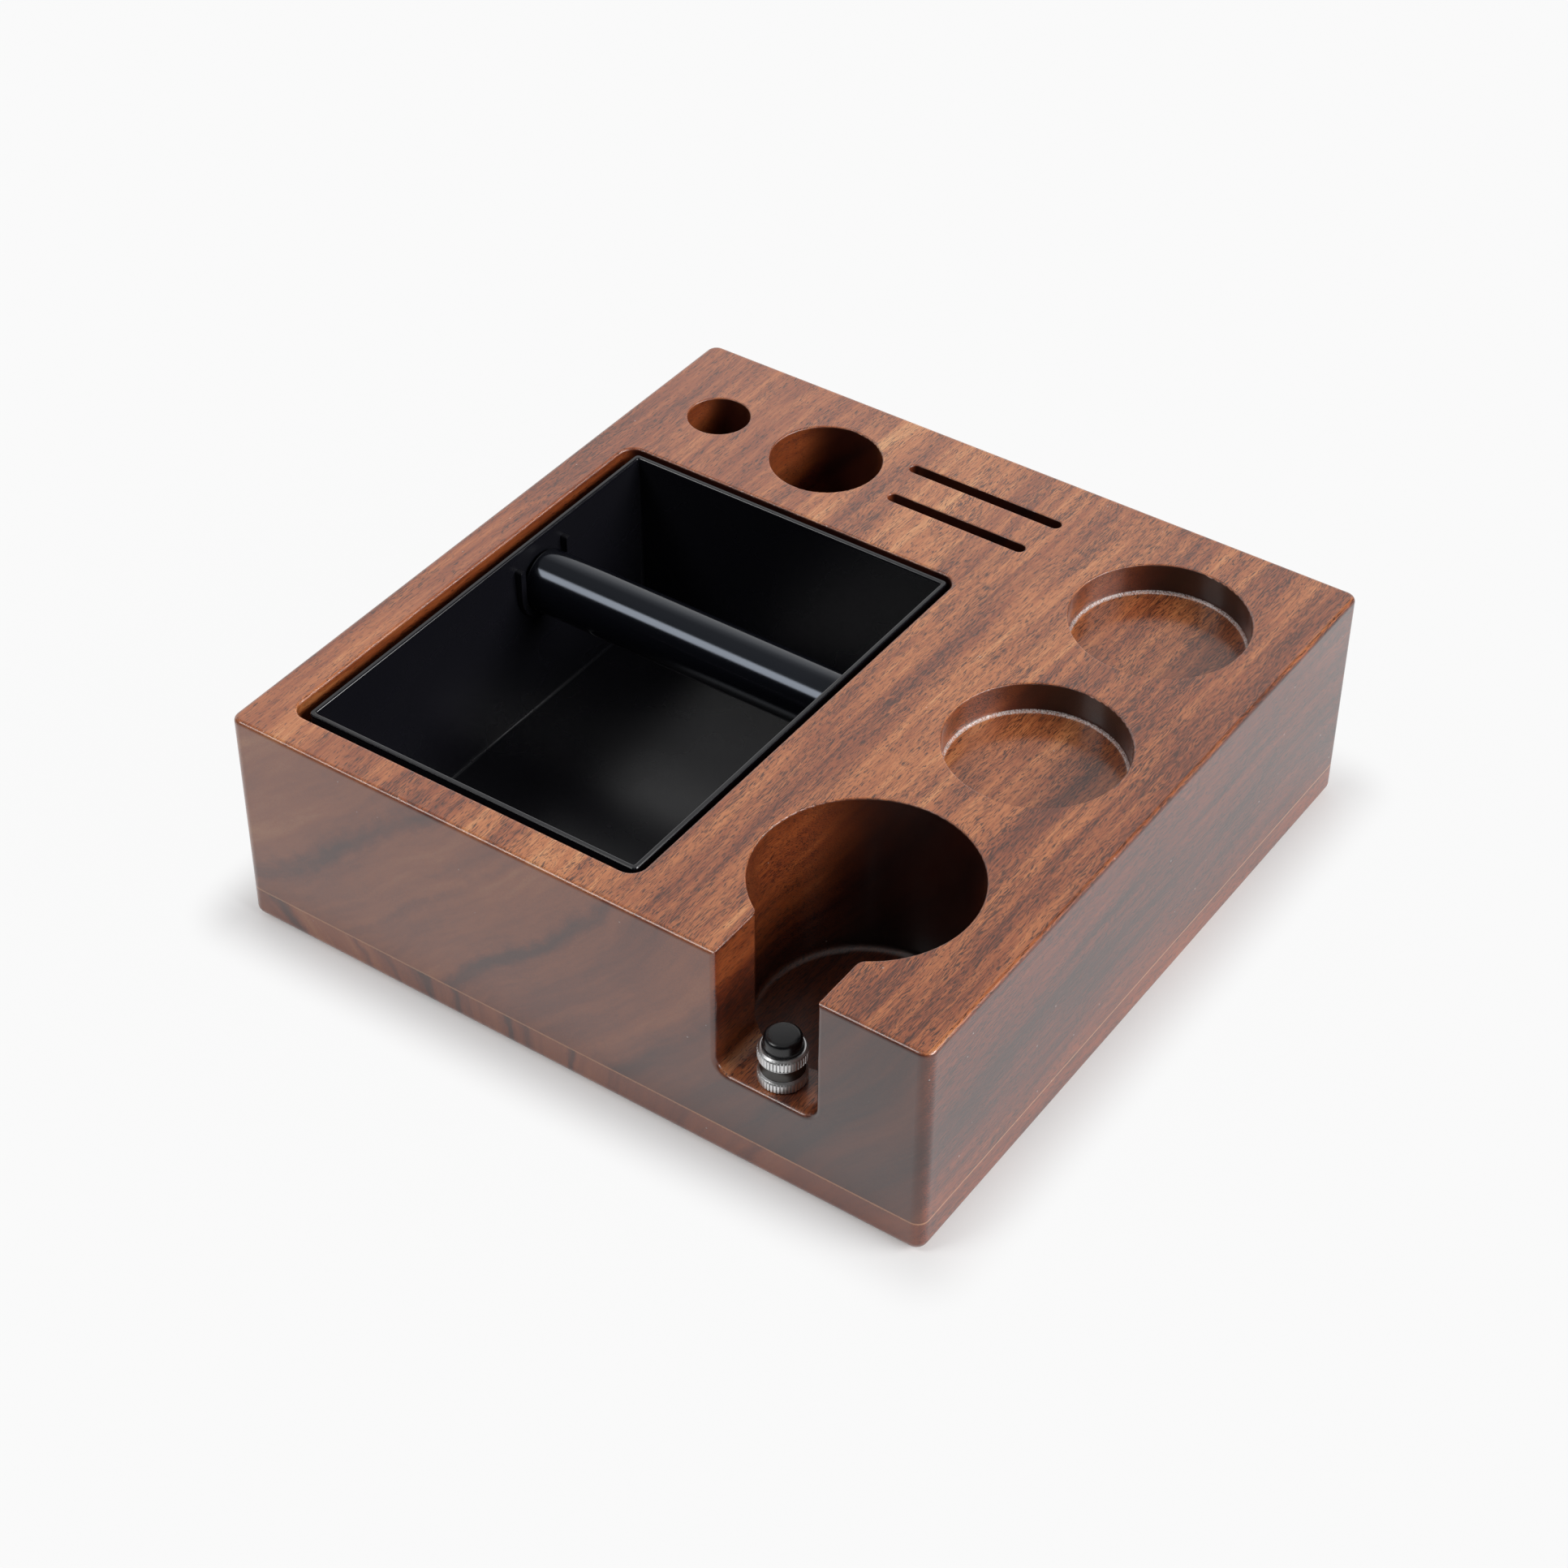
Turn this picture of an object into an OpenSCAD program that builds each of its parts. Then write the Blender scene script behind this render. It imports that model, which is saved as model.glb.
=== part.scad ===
// Coffee organizer box in solid wood: a knock bin with a removable knock bar, two tamper
// recesses, a portafilter well with an adjustable rest, two tool holes and two screen slots.
// Millimetres. X runs along the front, where the well's notch is, Y to the back and Z up.
// The origin is the middle of the footprint, on the surface that the feet stand on.

/* [Box] */
// Width of the box along its front
box_w = 260; // [255:1:320]
// Depth of the box from front to back
box_d = 260; // [255:1:320]
// Height of the milled block
block_h = 70; // [66:1:90]
// Thickness of the base board glued under the block
board_h = 12; // [9:1:20]
// Radius of the four upright corners
corner_r = 4; // [3:0.5:10]
// Radius rounded onto the top edges
top_edge_r = 1.6; // [0.6:0.1:2.5]
// Radius rounded onto the bottom edges
bottom_edge_r = 3; // [1:0.5:3]

/* [Feet] */
// Diameter of an anti-slip pad
foot_d = 20; // [12:1:30]
// Thickness of an anti-slip pad
foot_h = 1; // [0.8:0.1:3]
// Distance from the sides of the box to a pad's middle
foot_inset = 24; // [18:1:50]
// Bevel on a pad's lower edge
foot_bevel = 0.3; // [0.1:0.1:0.6]

/* [Bin pocket] */
// Width of the pocket
pocket_w = 134.5; // [125:0.5:140]
// Depth of the pocket from front to back
pocket_d = 177.5; // [160:0.5:178]
// Wood left between the pocket and the left and front sides
pocket_margin = 13.5; // [10:0.5:18]
// Radius of the pocket's upright corners
pocket_corner_r = 5.5; // [4:0.5:10]
// Radius rounded onto the pocket's mouth
pocket_edge_r = 1; // [0.4:0.1:1.5]

/* [Knock bin] */
// Gap between the bin's rim and the pocket, at the left and right
bin_gap_w = 3.5; // [2:0.1:5]
// Gap between the bin's rim and the pocket, at the front and back
bin_gap_d = 2.4; // [1.5:0.1:5]
// How far the loose bin stands to the right of the pocket's middle
bin_shift_right = 0.9; // [-1:0.1:1]
// How far the loose bin stands behind the pocket's middle
bin_shift_back = 0.9; // [-1:0.1:1]
// How far the rim lies below the top of the block
bin_drop = 1.1; // [0.5:0.1:5]
// Thickness of the bin's walls
bin_wall = 1.8; // [1.4:0.1:3]
// Thickness of the bin's floor
bin_floor = 2.2; // [1.5:0.1:4]
// How far each wall leans in from the rim to the floor
bin_draft = 2.2; // [1:0.1:4]
// Radius of the bin's upright corners at the rim
bin_corner_r = 1.6; // [1:0.1:4]
// Radius of the bin's upright corners on the inside
bin_inner_corner_r = 0.6; // [0.6:0.1:3]
// Radius between the bin's walls and its underside
bin_bottom_r = 3; // [2:0.1:6]
// Radius between the bin's walls and its floor on the inside
bin_inner_bottom_r = 1.2; // [0.6:0.1:4]
// Bevel on the edges of the rim
bin_rim_bevel = 0.3; // [0.1:0.1:0.5]

/* [Knock bar] */
// Diameter of the bar over its rubber sleeve
bar_d = 22; // [18:0.5:26]
// Diameter of the steel rod in the sleeve
bar_core_d = 12; // [8:0.5:16]
// How far the stretched sleeve's bore is under the rod's size, on the radius
bar_stretch = 0.1; // [0.05:0.01:0.2]
// How far the rod's ends are set back in the sleeve
bar_core_inset = 1; // [0.5:0.1:4]
// Bevel on the rod's ends
bar_core_bevel = 0.5; // [0.2:0.1:1]
// Radius rounded onto the sleeve's ends
bar_end_r = 1.2; // [0.4:0.1:2]
// Gap between the bar's ends and the bin's walls
bar_end_gap = 0.3; // [0.2:0.1:1.5]
// Distance from the bar's axis to the bin's back rim
bar_to_back = 57.8; // [40:0.1:80]
// Depth of the bar's axis below the bin's rim
bar_below_rim = 16.5; // [14:0.1:24]
// Gap between the bar and its channels
channel_gap = 0.2; // [0.15:0.05:0.5]
// Thickness of a channel's rib
channel_rib = 2.4; // [1.6:0.1:4]
// How far a channel stands out of the wall at the rim
channel_proud = 3; // [2:0.1:6]
// How far a channel's open ends rise above the bar's axis
channel_rise = 10.5; // [6:0.1:12]
// Radius rounded onto a channel's open ends
channel_tip_r = 0.9; // [0.3:0.1:1.2]

/* [Tamper recesses] */
// Diameter of a recess
recess_d = 59.8; // [50:0.1:62]
// Depth of a recess
recess_depth = 11.5; // [8:0.5:30]
// Radius between a recess's wall and its floor
recess_floor_r = 1.6; // [0.5:0.1:3]
// Distance from the right side of the box to the recesses' middles
recess_from_right = 46.8; // [44:0.1:50]
// Distance from the back of the box to the rear recess's middle
recess_from_back = 49.4; // [44:0.1:54]
// Distance between the two recesses' middles
recess_pitch = 76.5; // [70:0.1:78]

/* [Portafilter well] */
// Diameter of the well
well_d = 71.4; // [64:0.1:73]
// Depth of the well
well_depth = 62; // [52:0.5:64]
// Radius between the well's wall and its floor
well_floor_r = 2.6; // [1:0.1:5]
// Distance from the right side of the box to the well's middle
well_from_right = 56; // [50:0.1:58]
// Distance from the front of the box to the well's middle
well_from_front = 52.6; // [50:0.1:56]
// Width of the notch for the portafilter's neck
notch_w = 36; // [30:0.5:40]
// Depth of the notch
notch_depth = 48; // [40:0.5:50]
// Radius between the notch's walls and its floor
notch_floor_r = 5; // [2:0.5:6]
// Radius rounded onto the notch's mouth in the front of the box
notch_mouth_r = 1.6; // [0.6:0.1:2.5]
// Radius of the shoulders where the notch opens into the well
shoulder_r = 4; // [2:0.5:6]
// How far the shoulders' curve laps over the well's wall, which leaves a fine upright line
shoulder_lap = 0.04; // [0.02:0.01:0.2]
// Radius rounded onto the top edges of the well, recesses, holes and slots
rim_edge_r = 0.6; // [0.3:0.1:0.8]

/* [Tool holes] */
// Diameter of the small hole
small_hole_d = 22; // [16:0.5:26]
// Diameter of the large hole
large_hole_d = 39; // [30:0.5:42]
// Depth of both holes
hole_depth = 60; // [40:1:64]
// Distance from the left side of the box to the small hole's middle
small_hole_from_left = 28.4; // [26:0.1:32]
// Distance between the two holes' middles
hole_pitch = 45.3; // [42:0.1:48]
// Distance from the back of the box to the holes' middles
hole_from_back = 36.6; // [32:0.1:40]

/* [Screen slots] */
// Length of the rear slot
long_slot_l = 60; // [50:0.5:64]
// Length of the front slot
short_slot_l = 54; // [46:0.5:60]
// Width of both slots
slot_w = 4.3; // [4.3:0.1:6]
// Depth of both slots
slot_depth = 32; // [20:1:50]
// Distance from the middle of the box to the slots' middle
slot_right = 0.2; // [-2:0.1:4]
// Distance from the back of the box to the rear slot's middle
slot_from_back = 23.8; // [16:0.1:26]
// Distance between the two slots' middles
slot_pitch = 18.3; // [12:0.1:20]

/* [Portafilter rest] */
// Distance from the front of the box to the rest's axis
rest_from_front = 9.5; // [8:0.1:12]
// Diameter of the knurled rings
rest_d = 15; // [14:0.5:18]
// Height of the spool-shaped nut
rest_h = 13.3; // [12.5:0.1:18]
// Height of each knurled ring
ring_h = 4.4; // [2.5:0.1:5]
// Bevel on the upper edge of each ring
ring_bevel = 0.6; // [0.3:0.1:1]
// How far the waist is hollowed out from the rings' bevels
waist_hollow = 0.7; // [0.3:0.1:1.5]
// Number of grooves in the straight knurl
knurl_count = 44; // [24:1:60]
// Depth of a knurl groove
knurl_depth = 0.3; // [0.15:0.05:0.4]
// Gap between the nut and the notch's floor at its lowest
rest_gap = 0.2; // [0.1:0.1:1]
// Diameter of the threaded stud
stud_d = 6; // [4:0.5:8]
// Length of the stud above the notch's floor
stud_up = 8; // [6:0.5:9]
// Bevel on the stud's top
stud_bevel = 0.5; // [0.2:0.1:1]
// Radial clearance of the stud in its threads
thread_gap = 0.05; // [0.02:0.01:0.1]
// Outer diameter of the threaded insert
insert_d = 9; // [9:0.5:12]
// Length of the threaded insert
insert_l = 10; // [8:0.5:12]
// Radial clearance of the insert in the wood
insert_gap = 0.1; // [0.05:0.01:0.2]
// Thickness of the insert's closed end
insert_floor = 1.5; // [1:0.1:2]
// How far the rubber cap's flange lies inside the top edge of the ring
cap_margin = 0.45; // [0.1:0.05:0.8]
// Thickness of the flange
cap_flange_h = 0.8; // [0.4:0.1:1.2]
// How far the flange stands out from the cap above it
cap_flange_out = 0.5; // [0.2:0.1:0.8]
// Height of the cap above the nut
cap_h = 4.7; // [3:0.1:7]
// Radius rounded onto the top of the cap
cap_edge_r = 1.3; // [0.5:0.1:2]
// Diameter of the peg under the cap
peg_d = 7.8; // [5:0.1:8]
// Length of the peg
peg_l = 2.6; // [1.5:0.1:3]
// Clearance of the peg in the nut's socket
peg_gap = 0.05; // [0.02:0.01:0.1]

/* [Hidden] */
$fn = 96;

wood = "#8a4f2f";
board_wood = "#7c4a30";
black_plastic = "#1b1b1d";
black_rubber = "#101012";
steel = "#c4c2be";
brass = "#c59a4a";

// A cutter runs this far past the faces that it opens
over = 1;

block_z = foot_h + board_h;
top_z = block_z + block_h;

pocket_x = -box_w / 2 + pocket_margin + pocket_w / 2;
pocket_y = -box_d / 2 + pocket_margin + pocket_d / 2;

bin_w = pocket_w - 2 * bin_gap_w;
bin_d = pocket_d - 2 * bin_gap_d;
bin_x = pocket_x + bin_shift_right;
bin_y = pocket_y + bin_shift_back;
rim_z = top_z - bin_drop;
bin_h = rim_z - block_z;

bar_y = bin_y + bin_d / 2 - bar_to_back;
bar_z = rim_z - bar_below_rim;
// How far the wall has leaned in at the height of the bar's lowest line
lean_at_bar = bin_draft * (bar_below_rim + bar_d / 2) / bin_h;
bar_l = bin_w - 2 * (bin_wall + lean_at_bar + bar_end_gap);

recess_x = box_w / 2 - recess_from_right;
recess_rear_y = box_d / 2 - recess_from_back;
well_x = box_w / 2 - well_from_right;
well_y = -box_d / 2 + well_from_front;
notch_z = top_z - notch_depth;

hole_y = box_d / 2 - hole_from_back;
small_hole_x = -box_w / 2 + small_hole_from_left;
long_slot_y = box_d / 2 - slot_from_back;

rest_y = -box_d / 2 + rest_from_front;
nut_z = notch_z + rest_gap;
nut_top_z = nut_z + rest_h;
// Radius of the rings inside their bevels
ring_top_r = rest_d / 2 - ring_bevel;
cap_flange_r = ring_top_r - cap_margin;

// The corner of a square, left over when a quarter circle is taken out of it
module corner_waste(r) {
    difference() {
        square(r + over);
        circle(r);
    }
}

// Half of a slab's section, from its middle out to half_w, with rounded outer corners
module slab_section(half_w, h, top_r, bottom_r) {
    difference() {
        square([half_w, h]);
        if (top_r > 0)
            translate([half_w - top_r, h - top_r])
                corner_waste(top_r);
        if (bottom_r > 0)
            translate([half_w - bottom_r, bottom_r])
                mirror([0, 1])
                    corner_waste(bottom_r);
    }
}

// Half of a cutter's section, with its mouth at y = 0 opening out round a rounded edge
module mouth_section(half_w, depth, mouth_r, floor_r = 0) {
    difference() {
        union() {
            translate([0, -depth])
                square([half_w, depth + over]);
            translate([half_w - mouth_r, -mouth_r])
                square([2 * mouth_r, mouth_r + over]);
        }
        translate([half_w + mouth_r, -mouth_r])
            circle(mouth_r);
        if (floor_r > 0)
            translate([half_w - floor_r, floor_r - depth])
                mirror([0, 1])
                    corner_waste(floor_r);
    }
}

// Extrudes a half section and its mirror image along Y, about the middle
module extrude_pair(l) {
    rotate([90, 0, 0])
        linear_extrude(l, center = true) {
            children();
            mirror([1, 0])
                children();
        }
}

// Slab with upright corners of radius r and rounded top and bottom edges
module rounded_slab(w, d, h, r, top_r, bottom_r) {
    for (x = [-1, 1], y = [-1, 1])
        translate([x * (w / 2 - r), y * (d / 2 - r), 0])
            rotate_extrude()
                slab_section(r, h, top_r, bottom_r);
    extrude_pair(d - 2 * r)
        slab_section(w / 2, h, top_r, bottom_r);
    rotate([0, 0, 90])
        extrude_pair(w - 2 * r)
            slab_section(d / 2, h, top_r, bottom_r);
}

// Cutter for a rectangular pocket with rounded corners, its mouth at z = 0
module pocket_cutter(w, d, depth, r, mouth_r) {
    for (x = [-1, 1], y = [-1, 1])
        translate([x * (w / 2 - r), y * (d / 2 - r), 0])
            rotate_extrude()
                mouth_section(r, depth, mouth_r);
    extrude_pair(d - 2 * r)
        mouth_section(w / 2, depth, mouth_r);
    rotate([0, 0, 90])
        extrude_pair(w - 2 * r)
            mouth_section(d / 2, depth, mouth_r);
}

// Cutter for a round hole, its mouth at z = 0
module hole_cutter(d, depth, mouth_r, floor_r = 0) {
    rotate_extrude()
        mouth_section(d / 2, depth, mouth_r, floor_r);
}

// Cutter for a round-ended slot along X, its mouth at z = 0
module slot_cutter(l, w, depth, mouth_r) {
    for (x = [-1, 1])
        translate([x * (l - w) / 2, 0, 0])
            hole_cutter(w, depth, mouth_r);
    rotate([0, 0, 90])
        extrude_pair(l - w)
            mouth_section(w / 2, depth, mouth_r);
}

// Section of the shoulder post between notch and well: a rounded top and a flared foot
module shoulder_section() {
    slab_section(shoulder_r, notch_depth, rim_edge_r, 0);
    difference() {
        square([shoulder_r + notch_floor_r, notch_floor_r]);
        translate([shoulder_r + notch_floor_r, notch_floor_r])
            circle(notch_floor_r);
    }
}

// Cutter for the well and its notch, about the well's axis, with its mouth at z = 0
module well_cutter() {
    well_r = well_d / 2;
    half_notch = notch_w / 2;
    // Axis of the shoulder that touches the notch's wall and laps over the well's wall,
    // to a hundredth of a millimetre, so that the cuts on both sides of it meet in one plane
    shoulder_x = half_notch + shoulder_r;
    shoulder_y = -round(100 * sqrt((well_r + shoulder_r - shoulder_lap) ^ 2 - shoulder_x ^ 2)) / 100;
    front_y = -well_from_front;

    hole_cutter(well_d, well_depth, rim_edge_r, well_floor_r);

    // The notch, from the front of the box back to the shoulders
    notch_l = shoulder_y - front_y + over;
    translate([0, shoulder_y - notch_l / 2, 0])
        extrude_pair(notch_l)
            mouth_section(half_notch, notch_depth, rim_edge_r, notch_floor_r);

    // The space between the shoulders
    for (side = [0, 1])
        mirror([side, 0, 0])
            translate([0, 0, -notch_depth])
                difference() {
                    linear_extrude(notch_depth + over)
                        polygon([[0, 0], [shoulder_x, shoulder_y], [0, shoulder_y]]);
                    translate([shoulder_x, shoulder_y, 0])
                        rotate_extrude()
                            shoulder_section();
                }

    // The rounded mouth in the front of the box: its walls, its lower corners and its floor
    wall_l = notch_depth - notch_floor_r + over;
    translate([0, front_y, notch_floor_r - notch_depth])
        rotate([90, 0, 0]) {
            translate([0, wall_l / 2, 0])
                extrude_pair(wall_l)
                    mouth_section(half_notch, notch_mouth_r, notch_mouth_r);
            for (side = [-1, 1])
                translate([side * (half_notch - notch_floor_r), 0, 0])
                    rotate_extrude()
                        mouth_section(notch_floor_r, notch_mouth_r, notch_mouth_r);
            rotate([0, 0, 90])
                extrude_pair(notch_w - 2 * notch_floor_r)
                    mouth_section(notch_floor_r, notch_mouth_r, notch_mouth_r);
        }
}

module main_block() {
    color(wood)
        difference() {
            translate([0, 0, block_z])
                rounded_slab(box_w, box_d, block_h, corner_r, top_edge_r, 0);
            translate([pocket_x, pocket_y, top_z])
                pocket_cutter(pocket_w, pocket_d, block_h + over, pocket_corner_r, pocket_edge_r);
            for (step = [0, 1])
                translate([recess_x, recess_rear_y - step * recess_pitch, top_z])
                    hole_cutter(recess_d, recess_depth, rim_edge_r, recess_floor_r);
            translate([well_x, well_y, top_z])
                well_cutter();
            translate([small_hole_x, hole_y, top_z])
                hole_cutter(small_hole_d, hole_depth, rim_edge_r);
            translate([small_hole_x + hole_pitch, hole_y, top_z])
                hole_cutter(large_hole_d, hole_depth, rim_edge_r);
            translate([slot_right, long_slot_y, top_z])
                slot_cutter(long_slot_l, slot_w, slot_depth, rim_edge_r);
            translate([slot_right, long_slot_y - slot_pitch, top_z])
                slot_cutter(short_slot_l, slot_w, slot_depth, rim_edge_r);
            translate([well_x, rest_y, notch_z - insert_l])
                cylinder(h = insert_l + over, r = insert_d / 2 + insert_gap);
        }
}

module base_board() {
    color(board_wood)
        translate([0, 0, foot_h])
            rounded_slab(box_w, box_d, board_h, corner_r, 0, bottom_edge_r);
}

// A pad under one corner of the box: side -1 or 1 for left or right, end for front or back
module foot(side, end) {
    color(black_rubber)
        translate([side * (box_w / 2 - foot_inset), end * (box_d / 2 - foot_inset), 0]) {
            cylinder(h = foot_bevel, d1 = foot_d - 2 * foot_bevel, d2 = foot_d);
            translate([0, 0, foot_bevel])
                cylinder(h = foot_h - foot_bevel, d = foot_d);
        }
}

// Closed tub with leaning walls and a rounded underside, standing on z = 0
module tub(w, d, h, draft, rim_r, bottom_r, rim_bevel) {
    hull()
        for (x = [-1, 1], y = [-1, 1]) {
            translate([x * (w / 2 - rim_r), y * (d / 2 - rim_r), h - rim_bevel])
                cylinder(h = rim_bevel, r1 = rim_r, r2 = rim_r - rim_bevel, $fn = 32);
            translate([x * (w / 2 - draft - bottom_r), y * (d / 2 - draft - bottom_r), bottom_r])
                sphere(bottom_r, $fn = 32);
        }
}

module bin_outside() {
    translate([bin_x, bin_y, block_z])
        tub(bin_w, bin_d, bin_h, bin_draft, bin_corner_r, bin_bottom_r, bin_rim_bevel);
}

module bin_inside() {
    translate([bin_x, bin_y, block_z + bin_floor])
        tub(bin_w - 2 * bin_wall, bin_d - 2 * bin_wall, bin_h - bin_floor + over,
            bin_draft, bin_inner_corner_r, bin_inner_bottom_r, bin_rim_bevel);
}

// U-shaped section of the bar's channel, about the bar's axis, with its open end up
module channel_section() {
    inner_r = bar_d / 2 + channel_gap;
    outer_r = inner_r + channel_rib;
    difference() {
        circle(outer_r);
        circle(inner_r);
        translate([-outer_r - over, 0])
            square([2 * (outer_r + over), outer_r + over]);
    }
    for (side = [0, 1])
        mirror([side, 0])
            translate([inner_r, 0])
                difference() {
                    square([channel_rib, channel_rise]);
                    translate([channel_rib - channel_tip_r, channel_rise - channel_tip_r])
                        corner_waste(channel_tip_r);
                    translate([channel_tip_r, channel_rise - channel_tip_r])
                        mirror([1, 0])
                            corner_waste(channel_tip_r);
                }
}

// The channels stand on the left and right walls and end in the wall's thickness
module bar_channels() {
    reach = bin_wall + channel_proud;
    for (side = [-1, 1])
        translate([bin_x + side * (bin_w - reach) / 2, bar_y, bar_z])
            rotate([90, 0, 90])
                linear_extrude(reach, center = true)
                    channel_section();
}

module knock_bin() {
    color(black_plastic) {
        difference() {
            bin_outside();
            bin_inside();
        }
        intersection() {
            bin_outside();
            bar_channels();
        }
    }
}

// Places a shape that is revolved about Z on the bar's axis, with its start at the left
module on_bar_axis(l) {
    translate([bin_x - l / 2, bar_y, bar_z])
        rotate([0, 90, 0])
            rotate_extrude()
                children();
}

module bar_core() {
    core_l = bar_l - 2 * bar_core_inset;
    color(steel)
        on_bar_axis(core_l)
            slab_section(bar_core_d / 2, core_l, bar_core_bevel, bar_core_bevel);
}

module bar_sleeve() {
    color(black_rubber)
        on_bar_axis(bar_l)
            difference() {
                slab_section(bar_d / 2, bar_l, bar_end_r, bar_end_r);
                square([bar_core_d / 2 - bar_stretch, bar_l]);
            }
}

module rest_insert() {
    color(brass)
        translate([well_x, rest_y, notch_z - insert_l])
            difference() {
                cylinder(h = insert_l, d = insert_d);
                translate([0, 0, insert_floor])
                    cylinder(h = insert_l, r = stud_d / 2 + thread_gap);
            }
}

module rest_stud() {
    stud_l = insert_l - insert_floor + stud_up;
    color(steel)
        translate([well_x, rest_y, notch_z + stud_up - stud_l]) {
            cylinder(h = stud_l - stud_bevel, d = stud_d);
            translate([0, 0, stud_l - stud_bevel])
                cylinder(h = stud_bevel, d1 = stud_d, d2 = stud_d - 2 * stud_bevel);
        }
}

// Ring with a straight knurl and a bevelled upper edge
module knurled_ring() {
    intersection() {
        linear_extrude(ring_h)
            difference() {
                circle(d = rest_d);
                for (i = [0 : knurl_count - 1])
                    rotate(i * 360 / knurl_count)
                        translate([rest_d / 2, 0])
                            circle(knurl_depth, $fn = 24);
            }
        union() {
            cylinder(h = ring_h - ring_bevel, d = rest_d + over);
            translate([0, 0, ring_h - ring_bevel])
                cylinder(h = ring_bevel, r1 = rest_d / 2, r2 = ring_top_r);
        }
    }
}

// Section of the hollow waist between the rings
module waist_section(h) {
    hollow_r = (h ^ 2 / 4 + waist_hollow ^ 2) / (2 * waist_hollow);
    difference() {
        square([ring_top_r, h]);
        translate([ring_top_r - waist_hollow + hollow_r, h / 2])
            circle(hollow_r);
    }
}

module rest_nut() {
    waist_h = rest_h - 2 * ring_h;
    bore_h = stud_up - rest_gap + thread_gap;
    socket_h = peg_l + peg_gap;
    color(steel)
        translate([well_x, rest_y, nut_z])
            difference() {
                union() {
                    knurled_ring();
                    translate([0, 0, ring_h])
                        rotate_extrude()
                            waist_section(waist_h);
                    translate([0, 0, rest_h - ring_h])
                        knurled_ring();
                }
                translate([0, 0, -over])
                    cylinder(h = bore_h + over, r = stud_d / 2 + thread_gap);
                translate([0, 0, rest_h - socket_h])
                    cylinder(h = socket_h + over, r = peg_d / 2 + peg_gap);
            }
}

module rest_cap() {
    color(black_rubber)
        translate([well_x, rest_y, nut_top_z]) {
            translate([0, 0, -peg_l])
                cylinder(h = peg_l, d = peg_d);
            cylinder(h = cap_flange_h, r = cap_flange_r);
            translate([0, 0, cap_flange_h])
                rotate_extrude()
                    slab_section(cap_flange_r - cap_flange_out, cap_h - cap_flange_h,
                        cap_edge_r, 0);
        }
}

main_block();
base_board();
foot(-1, -1);  // foot_front_left
foot(1, -1);  // foot_front_right
foot(-1, 1);  // foot_rear_left
foot(1, 1);  // foot_rear_right
knock_bin();
bar_core();
bar_sleeve();
rest_insert();
rest_stud();
rest_nut();
rest_cap();
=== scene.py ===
# %% [markdown]
# # A wooden coffee organizer box
# The box is milled from one block of brown hardwood with a board glued under it. It holds a
# black knock bin with a rubber-sleeved bar, and a small knurled rest stands in the notch in
# front of the portafilter well. The solids already have the true sizes, so most of them are
# shown as they are. This script gives them their finishes, the studio and the camera, and it
# makes three finer shapes: the knurled nut, its domed cap and the bin with a rounded rim.

# %% Load the solids
import math
import bmesh
import bpy
from mathutils import Matrix, Vector


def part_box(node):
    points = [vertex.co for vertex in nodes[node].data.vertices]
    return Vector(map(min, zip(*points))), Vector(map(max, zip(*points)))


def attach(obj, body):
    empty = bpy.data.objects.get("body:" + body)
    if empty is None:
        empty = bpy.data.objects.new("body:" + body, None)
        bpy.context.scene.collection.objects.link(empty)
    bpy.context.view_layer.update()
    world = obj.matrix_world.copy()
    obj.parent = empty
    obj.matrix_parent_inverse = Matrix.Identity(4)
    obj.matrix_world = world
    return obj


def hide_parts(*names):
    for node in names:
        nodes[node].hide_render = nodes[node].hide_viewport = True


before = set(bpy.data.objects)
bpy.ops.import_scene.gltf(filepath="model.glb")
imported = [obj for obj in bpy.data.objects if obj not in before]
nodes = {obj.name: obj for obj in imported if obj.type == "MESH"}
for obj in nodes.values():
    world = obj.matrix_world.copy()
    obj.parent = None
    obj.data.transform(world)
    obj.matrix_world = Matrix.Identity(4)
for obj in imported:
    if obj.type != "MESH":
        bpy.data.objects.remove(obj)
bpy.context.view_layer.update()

MM = 0.001
print("solids:", sorted(nodes))

# %% [markdown]
# Colours are picked on a screen as sRGB hex values, but a shader counts in linear light, so
# one function turns the first into the second. The next adds a node with its settings and its
# links, which keeps each material readable as a list of steps. The others start a material,
# put an object into the scene, and dress a solid.


# %% Helpers
def linear(hex_colour):
    """An sRGB hex colour as linear red, green, blue and alpha."""
    channels = [int(hex_colour[i:i + 2], 16) / 255 for i in (1, 3, 5)]
    light = [c / 12.92 if c <= 0.04045 else ((c + 0.055) / 1.055) ** 2.4 for c in channels]
    return tuple(light) + (1,)


def add(tree, kind, inputs=None, **settings):
    """Adds a node. A value in inputs is set, and a node or a socket is linked."""
    new = tree.nodes.new(kind)
    for key, value in settings.items():
        setattr(new, key, value)
    for key, value in (inputs or {}).items():
        named = [s for s in new.inputs if s.enabled and s.name == key]
        socket = new.inputs[key] if isinstance(key, int) else named[0]
        if isinstance(value, bpy.types.Node):
            value = [s for s in value.outputs if s.enabled][0]
        if isinstance(value, bpy.types.NodeSocket):
            tree.links.new(value, socket)
        else:
            socket.default_value = value
    return new


def blank_material(name):
    """A new material and its empty node tree."""
    material = bpy.data.materials.new(name)
    material.use_nodes = True
    material.node_tree.nodes.clear()
    return material, material.node_tree


def place_object(name, data):
    """Puts a mesh or a camera into the scene, at the origin."""
    made = bpy.data.objects.new(name, data)
    bpy.context.scene.collection.objects.link(made)
    return made


def dress(node, material):
    """Gives a solid one finish."""
    nodes[node].data.materials.clear()
    nodes[node].data.materials.append(material)


print("white as linear light:", linear("#ffffff"))

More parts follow.
